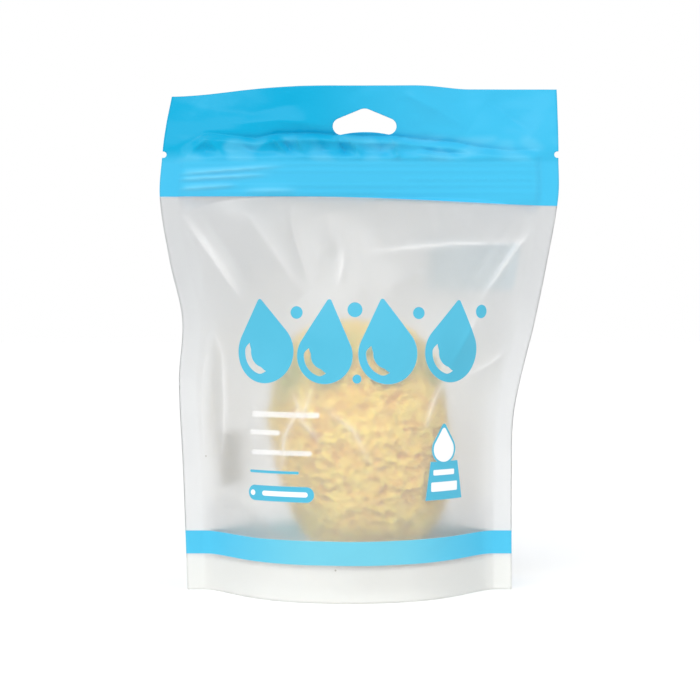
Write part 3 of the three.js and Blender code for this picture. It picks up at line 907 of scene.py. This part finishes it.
def printed_colour(graph, film, side, haze):
    """The colour of a printed panel, and how far its ink, creases and doubled foot close it to light."""
    flat = graph.add("ShaderNodeUVMap", uv_map="film_flat").outputs[0]
    wear_highlight_foot_map = graph.add("ShaderNodeUVMap", uv_map="film_wear_highlight_foot").outputs[0]
    crease, foot, _ = graph.add("ShaderNodeSeparateXYZ", {0: wear_highlight_foot_map}).outputs
    centred = graph.vector("SUBTRACT", flat, (0.5, 0, 0))
    place = graph.vector("MULTIPLY", centred, (FLAT_WIDTH, POUCH_HEIGHT, 0))
    across, height, _ = graph.add("ShaderNodeSeparateXYZ", {0: place}).outputs
    header, stripe = band_masks(graph, across, height)
    blue, white, dark = (front_print if side < 0 else back_print)(graph, place)
    dark_cover = dark
    if side > 0:
        blue, white, dark_cover = (
            graph.math("MULTIPLY", mask, film.back_ink_cover) for mask in (blue, white, dark)
        )

    # the stripe is lighter in its middle: painted light from behind, over ink that is thinner there
    middle = graph.ease(graph.math("ABSOLUTE", across), 55.0, 10.0)
    stripe_ink = graph.mix(middle, film.stripe_ink, film.stripe_ink_light)
    motif_ink = graph.mix(haze, film.motif_ink, film.motif_ink_light)
    colour = bare_colour(graph, film, height, crease, foot, haze)
    colour = graph.mix(blue, colour, motif_ink)
    colour = graph.mix(stripe, colour, stripe_ink)
    colour = graph.mix(header, colour, header_colour(graph, film, place, crease, haze))
    colour = graph.mix(white, colour, film.white_ink)
    colour = graph.mix(dark, colour, film.grey_ink)

    ink = graph.math("MULTIPLY", graph.cover(blue, white, dark_cover, header, stripe), film.ink_cover)
    haze_lines = graph.cover(graph.math("MULTIPLY", crease, 0.35), graph.math("MULTIPLY", foot, 0.45))
    return colour, graph.cover(ink, haze_lines)


def film_material(name, film, side):
    """Frosted film: partly milky, partly letting light through in all directions near its own, so that
    what touches it is clear and what lies further back is soft. Ink makes it nearly solid. Lamp light
    goes straight through, tinted. side is 0 for the gusset, which has no printing and is clearer."""
    graph = Graph(name)
    coordinates = graph.add("ShaderNodeTexCoord").outputs["Object"]
    haze = graph.noise(coordinates, 45.0, 4.0)
    grain = graph.noise(coordinates, 900.0, 2.0)
    open_shadow = (film.shadow_light, film.shadow_light, film.shadow_light, 1)
    if side:
        colour, closed = printed_colour(graph, film, side, haze)
        clearness = graph.math("MULTIPLY", graph.math("SUBTRACT", 1.0, closed), film.clearness)
        shadow = graph.mix(graph.math("MULTIPLY", closed, film.ink_shadow), open_shadow, colour)
    else:
        colour = graph.mix(graph.math("MULTIPLY", haze, 0.4), film.gusset_colour, film.film_colour)
        clearness = film.gusset_clearness
        shadow = (1, 1, 1, 1)
    bump = graph.add("ShaderNodeBump", {
        "Height": graph.math("ADD", haze, graph.math("MULTIPLY", grain, 0.12)),
        "Strength": 0.2, "Distance": 0.0006,
    }).outputs[0]
    roughness = graph.ease(haze, 0.2, 0.8, film.frost - 0.03, film.frost + 0.03)
    shader = graph.add("ShaderNodeBsdfPrincipled", {
        "Base Color": colour, "Roughness": roughness, "IOR": film.bend if side else film.gusset_bend,
        "Transmission Weight": clearness, "Normal": bump, "Specular IOR Level": 0.25,
    }).outputs[0]
    lamp_side = graph.add("ShaderNodeBsdfTransparent", {"Color": shadow}).outputs[0]
    passes = graph.add("ShaderNodeLightPath").outputs["Is Shadow Ray"]
    if not side:
        passes = graph.math("MAXIMUM", passes, film.gusset_openness)
    mixed = graph.add("ShaderNodeMixShader", {0: passes, 1: shader, 2: lamp_side}).outputs[0]
    return graph.finish(mixed)


def zip_material(name, film):
    """Clear moulded strip with faint drawing lines along it."""
    graph = Graph(name)
    coordinates = graph.add("ShaderNodeTexCoord").outputs["Object"]
    lines = graph.noise(graph.vector("MULTIPLY", coordinates, (20, 900, 900)), 1.0, 2.0)
    bump = graph.add("ShaderNodeBump", {"Height": lines, "Strength": 0.3, "Distance": 0.0002}).outputs[0]
    colour = graph.mix(lines, film.zip_colour, film.film_colour)
    return graph.finish(graph.add("ShaderNodeBsdfPrincipled", {
        "Base Color": colour, "Roughness": 0.28, "IOR": 1.45, "Transmission Weight": 0.55, "Normal": bump,
    }).outputs[0])


def sponge_material(name, sponge):
    """Dry sponge fibre: straw on the outside, amber in random spots, painted shade of amber in the pores
    and mouths, and a fine tangle of darker threads.
    """
    graph = Graph(name)
    coordinates = graph.add("ShaderNodeTexCoord").outputs["Object"]
    hollow = graph.add("ShaderNodeAttribute", attribute_name="hollow").outputs["Fac"]
    blotch = graph.noise(coordinates, 60.0, 4.0)
    spots = graph.noise(coordinates, 180.0, 3.0, 0.55, 1.0)
    fibre = graph.noise(coordinates, 900.0, 5.0, 0.65, 1.5)
    # painted shade: the deeper a pore or mouth, the more amber it is
    deep = graph.ease(hollow, 0.1, 0.9)
    outside = graph.mix(graph.ease(blotch, 0.4, 0.65), sponge.straw, sponge.straw_dark)
    colour = graph.mix(graph.math("MULTIPLY", deep, 0.6), outside, sponge.amber)
    colour = graph.mix(graph.ease(spots, 0.42, 0.66, 0.0, 0.6), colour, sponge.amber)
    colour = graph.mix(graph.ease(fibre, 0.5, 0.7, 0.0, 0.3), colour, sponge.amber)
    bump = graph.add("ShaderNodeBump", {"Height": fibre, "Strength": 0.8, "Distance": 0.0008}).outputs[0]
    return graph.finish(graph.add("ShaderNodeBsdfPrincipled", {
        "Base Color": colour, "Roughness": 0.9, "Normal": bump, "Sheen Weight": 0.2,
        "Sheen Roughness": 0.5, "Subsurface Weight": 0.3, "Subsurface Scale": 0.004,
        "Subsurface Radius": (1.0, 0.7, 0.3),
    }).outputs[0])


# ---------------------------------------------------------------- what a user may change

def colour(name, description, default):
    return FloatVectorProperty(name=name, description=description, subtype="COLOR", default=default)


def fraction(name, description, default):
    return FloatProperty(name=name, description=description, default=default, min=0, max=1)


class FilmSettings(bpy.types.PropertyGroup):
    """Sizes and colours of the pouch."""

    film_thickness: FloatProperty(
        name="Film thickness", description="Thickness of every film", default=0.0002, min=0.0001,
        max=0.0006, unit="LENGTH",
    )
    wrinkle: FloatProperty(name="Wrinkles", description="Strength of the soft wrinkles", default=1.0)
    panel_rows: IntProperty(name="Panel rows", description="Grid rows of a panel", default=250)
    panel_columns: IntProperty(name="Panel columns", description="Grid columns between welds", default=170)
    weld_columns: IntProperty(name="Weld columns", description="Grid columns in a side weld", default=6)
    gusset_columns: IntProperty(name="Gusset columns", description="Grid columns of the gusset", default=190)
    floor_rows: IntProperty(name="Floor rows", description="Grid rows of the gusset's floor", default=150)
    skirt_rows: IntProperty(name="Skirt rows", description="Grid rows of a gusset's skirt", default=8)
    clearness: fraction("Clearness", "Share of light that passes bare film", 0.86)
    frost: fraction("Frost", "How far passing light is scattered", 0.31)
    bend: FloatProperty(name="IOR", description="Index of refraction of the film", default=1.3)
    gusset_bend: FloatProperty(name="Gusset IOR", description="The same for the gusset", default=1.12)
    shadow_light: fraction("Shadow light", "Share of lamp light that passes a face of bare film", 0.97)
    gusset_openness: fraction("Gusset openness", "Share of light that passes the gusset straight", 0.7)
    ink_shadow: fraction("Ink shadow", "Share of that light which ink colours", 0.7)
    gusset_clearness: fraction("Gusset clearness", "Share of light that passes the gusset", 0.99)
    ink_cover: fraction("Ink cover", "Share of light that ink holds back", 0.95)
    back_ink_cover: fraction("Back ink", "How much of its ink the back's small printing has", 0.2)
    film_colour: colour("Film", "Colour of bare film", (0.94, 0.945, 0.945))
    # the darker film: random milky patches, and painted shade towards the header
    film_shade: colour("Film shade", "Where it is milkier", (0.86, 0.87, 0.875))
    gusset_colour: colour("Gusset", "Colour of the gusset's film", (1.0, 1.0, 1.0))
    foot_colour: colour("Film foot", "Colour of the doubled film at the rim", (0.93, 0.93, 0.9))
    header_ink: colour("Header ink", "Blue of the header", linear(8, 168, 211))
    # lighter blue: painted light on the header's right side, and lighter over the zip and in random patches
    header_ink_light: colour("Header ink, thin", "Where the ink is thinner", linear(70, 189, 230))
    # paler blue: worn along creases with a painted highlight, and painted lit facets under the top weld
    header_ink_worn_and_lit: colour("Header ink, worn", "Along creases", linear(130, 212, 240))
    motif_ink: colour("Motif ink", "Blue of the drops", linear(80, 181, 210))
    motif_ink_light: colour("Motif ink, thin", "Where the ink is thinner", linear(92, 190, 220))
    stripe_ink: colour("Stripe ink", "Blue of the stripe", linear(83, 196, 233))
    # lighter blue of the stripe's middle: painted light from behind, over ink that is thinner there
    stripe_ink_light: colour("Stripe ink, middle", "Blue of the stripe's middle", linear(115, 202, 224))
    white_ink: colour("White ink", "Colour of the white printing", (0.95, 0.95, 0.95))
    grey_ink: colour("Grey ink", "Colour of the back's plain patch", (0.55, 0.54, 0.5))
    zip_colour: colour("Zip", "Colour of the moulded strips", (0.8, 0.88, 0.92))


class SpongeSettings(bpy.types.PropertyGroup):
    """Fineness and colours of the sponge."""

    sponge_rows: IntProperty(name="Rows", description="Grid rows from pole to pole", default=300)
    sponge_columns: IntProperty(name="Columns", description="Grid columns round it", default=330)
    mouth_depth: FloatProperty(name="Mouths", description="Depth of the wide mouths, in mm", default=1.3)
    pore_depth: FloatProperty(name="Pores", description="Depth of the small pores, in mm", default=1.0)
    thread_depth: FloatProperty(name="Threads", description="Depth between the threads, in mm", default=1.0)
    straw: colour("Straw", "Main colour", linear(255, 224, 106))
    straw_dark: colour("Dark straw", "Colour of its blotches", linear(250, 210, 90))
    # amber: the fibre's own spots and threads, and painted shade in pores and mouths
    amber: colour("Amber", "Colour inside pores and mouths", linear(226, 168, 72))


class StageSettings(bpy.types.PropertyGroup):
    """The studio."""

    camera_distance: FloatProperty(
        name="Camera distance", description="From the camera to its target", default=0.7, unit="LENGTH",
    )
    camera_height: FloatProperty(
        name="Camera elevation", description="Angle above level", default=math.radians(1.1), subtype="ANGLE",
    )
    view_width: FloatProperty(
        name="View width", description="Width of the view at the target", default=0.264, unit="LENGTH",
    )
    room_light: FloatProperty(name="Room light", description="Strength of the white room", default=0.72)
    key_light: FloatProperty(name="Key light", description="Strength of the soft sun", default=1.45)
    key_softness: FloatProperty(
        name="Key softness", description="Angle that the soft sun fills", default=math.radians(45),
        subtype="ANGLE",
    )
    fill_light: FloatProperty(name="Fill light", description="Power of the fill, in watts", default=0.8)


class SpongePouchSettings(bpy.types.PropertyGroup):
    """Everything that can be changed."""

    film: PointerProperty(type=FilmSettings)
    sponge: PointerProperty(type=SpongeSettings)
    stage: PointerProperty(type=StageSettings)


# ---------------------------------------------------------------- operators

def place_piece(piece, material, node):
    piece.data.materials.clear()
    piece.data.materials.append(material)
    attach(piece, "root")
    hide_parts(node)


class SPONGEPOUCH_OT_front_film(bpy.types.Operator):
    """Build the printed front panel"""

    bl_idname = "sponge_pouch.front_film"
    bl_label = "Front film"

    def execute(self, context):
        film = context.scene.sponge_pouch.film
        panel = film_panel("front_film", -1, film)
        place_piece(panel, film_material("front_film", film, -1), "front_panel")
        return {"FINISHED"}


class SPONGEPOUCH_OT_back_film(bpy.types.Operator):
    """Build the printed back panel"""

    bl_idname = "sponge_pouch.back_film"
    bl_label = "Back film"

    def execute(self, context):
        film = context.scene.sponge_pouch.film
        panel = film_panel("back_film", 1, film)
        place_piece(panel, film_material("back_film", film, 1), "back_panel")
        return {"FINISHED"}


class SPONGEPOUCH_OT_gusset_film(bpy.types.Operator):
    """Build the folded bottom gusset"""

    bl_idname = "sponge_pouch.gusset_film"
    bl_label = "Gusset film"

    def execute(self, context):
        film = context.scene.sponge_pouch.film
        points, faces = film_shell(gusset_middle(film), mm(film.film_thickness))
        gusset = mesh_object("gusset_film", points, faces)
        place_piece(gusset, film_material("gusset_film", film, 0), "bottom_gusset")
        return {"FINISHED"}


class SPONGEPOUCH_OT_zip_strips(bpy.types.Operator):
    """Finish the two halves of the press-to-close strip"""

    bl_idname = "sponge_pouch.zip_strips"
    bl_label = "Zip strips"

    def execute(self, context):
        material = zip_material("zip_strip", context.scene.sponge_pouch.film)
        for name in ("zip_tongue_strip", "zip_groove_strip"):
            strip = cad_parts[name]
            if not strip.material_slots:
                strip.data.materials.append(None)
            for slot in strip.material_slots:
                slot.link = "OBJECT"
                slot.material = material
        return {"FINISHED"}


class SPONGEPOUCH_OT_sponge_body(bpy.types.Operator):
    """Build the sea sponge"""

    bl_idname = "sponge_pouch.sponge_body"
    bl_label = "Sea sponge"

    def execute(self, context):
        sponge = context.scene.sponge_pouch.sponge
        body = build_sponge(sponge, context.scene.sponge_pouch.film.wrinkle)
        place_piece(body, sponge_material("sponge_fibre", sponge), "sea_sponge")
        return {"FINISHED"}


def stage_material(name, colour, roughness):
    graph = Graph(name)
    return graph.finish(graph.add("ShaderNodeBsdfPrincipled", {
        "Base Color": (*colour, 1), "Roughness": roughness,
    }).outputs[0])


def aim(thing, place, target):
    """Puts a lamp or camera at a place, facing a target."""
    thing.location = place
    thing.rotation_euler = (Vector(target) - Vector(place)).to_track_quat("-Z", "Y").to_euler()


def add_lamp(lamp, place, target):
    thing = bpy.data.objects.new(lamp.name, lamp)
    bpy.context.scene.collection.objects.link(thing)
    aim(thing, place, target)


AIM = (-0.0034, 0.0, 0.0905)  # where the camera and the lamps look
KEY_PLACE = (-0.3, -0.7, 0.95)
FILL_PLACE = (0.8, -0.5, 0.35)


class SPONGEPOUCH_OT_stage(bpy.types.Operator):
    """Set up the floor, the room light, the lamps and the camera"""

    bl_idname = "sponge_pouch.stage"
    bl_label = "Stage"

    def execute(self, context):
        scene, stage = context.scene, context.scene.sponge_pouch.stage
        reach = 6.0
        corners = np.array([(-reach, -reach, 0), (reach, -reach, 0), (reach, reach, 0), (-reach, reach, 0)])
        floor = mesh_object("floor", corners / MM, [[0, 1, 2, 3]])
        floor.data.materials.append(stage_material("floor", (1.0, 1.0, 1.0), 0.9))

        world = bpy.data.worlds.new("room")
        scene.world = world
        world.use_nodes = True
        tree = world.node_tree
        tree.nodes.clear()
        seen = tree.nodes.new("ShaderNodeLightPath")
        strength = tree.nodes.new("ShaderNodeMix")
        strength.inputs[2].default_value = stage.room_light
        strength.inputs[3].default_value = 1.0
        tree.links.new(seen.outputs["Is Camera Ray"], strength.inputs[0])
        background = tree.nodes.new("ShaderNodeBackground")
        background.inputs["Color"].default_value = (1, 1, 1, 1)
        tree.links.new(strength.outputs[0], background.inputs["Strength"])
        output = tree.nodes.new("ShaderNodeOutputWorld")
        tree.links.new(background.outputs[0], output.inputs["Surface"])

        sun = bpy.data.lights.new("key", "SUN")
        sun.energy = stage.key_light
        sun.angle = stage.key_softness
        add_lamp(sun, KEY_PLACE, AIM)
        fill = bpy.data.lights.new("fill", "AREA")
        fill.size = 0.6
        fill.energy = stage.fill_light
        add_lamp(fill, FILL_PLACE, AIM)

        camera = bpy.data.cameras.new("camera")
        camera.sensor_width = 36
        camera.lens = 36 * stage.camera_distance / stage.view_width
        thing = bpy.data.objects.new("camera", camera)
        scene.collection.objects.link(thing)
        back = stage.camera_distance * math.cos(stage.camera_height)
        up = stage.camera_distance * math.sin(stage.camera_height)
        aim(thing, (AIM[0], AIM[1] - back, AIM[2] + up), AIM)
        scene.camera = thing
        scene.view_settings.view_transform = "Standard"
        return {"FINISHED"}


OPERATORS = (
    SPONGEPOUCH_OT_stage,
    SPONGEPOUCH_OT_sponge_body,
    SPONGEPOUCH_OT_front_film,
    SPONGEPOUCH_OT_back_film,
    SPONGEPOUCH_OT_gusset_film,
    SPONGEPOUCH_OT_zip_strips,
)


class SPONGEPOUCH_PT_sidebar(bpy.types.Panel):
    """Lists the settings and the pieces"""

    bl_idname = "SPONGEPOUCH_PT_sidebar"
    bl_label = "Sponge Pouch"
    bl_space_type = "VIEW_3D"
    bl_region_type = "UI"
    bl_category = "Sponge Pouch"

    def draw(self, context):
        settings = context.scene.sponge_pouch
        for group in (settings.film, settings.sponge, settings.stage):
            box = self.layout.box()
            for name in group.bl_rna.properties.keys():
                if name not in ("rna_type", "name"):
                    box.prop(group, name)
        for operator in OPERATORS:
            self.layout.operator(operator.bl_idname)


CLASSES = (
    FilmSettings, SpongeSettings, StageSettings, SpongePouchSettings, *OPERATORS, SPONGEPOUCH_PT_sidebar,
)


def register():
    for cls in CLASSES:
        bpy.utils.register_class(cls)
    bpy.types.Scene.sponge_pouch = PointerProperty(type=SpongePouchSettings)


def unregister():
    del bpy.types.Scene.sponge_pouch
    for cls in reversed(CLASSES):
        bpy.utils.unregister_class(cls)


def main():
    register()
    for operator in OPERATORS:
        group, name = operator.bl_idname.split(".")
        getattr(getattr(bpy.ops, group), name)()


if __name__ == "__main__":
    main()
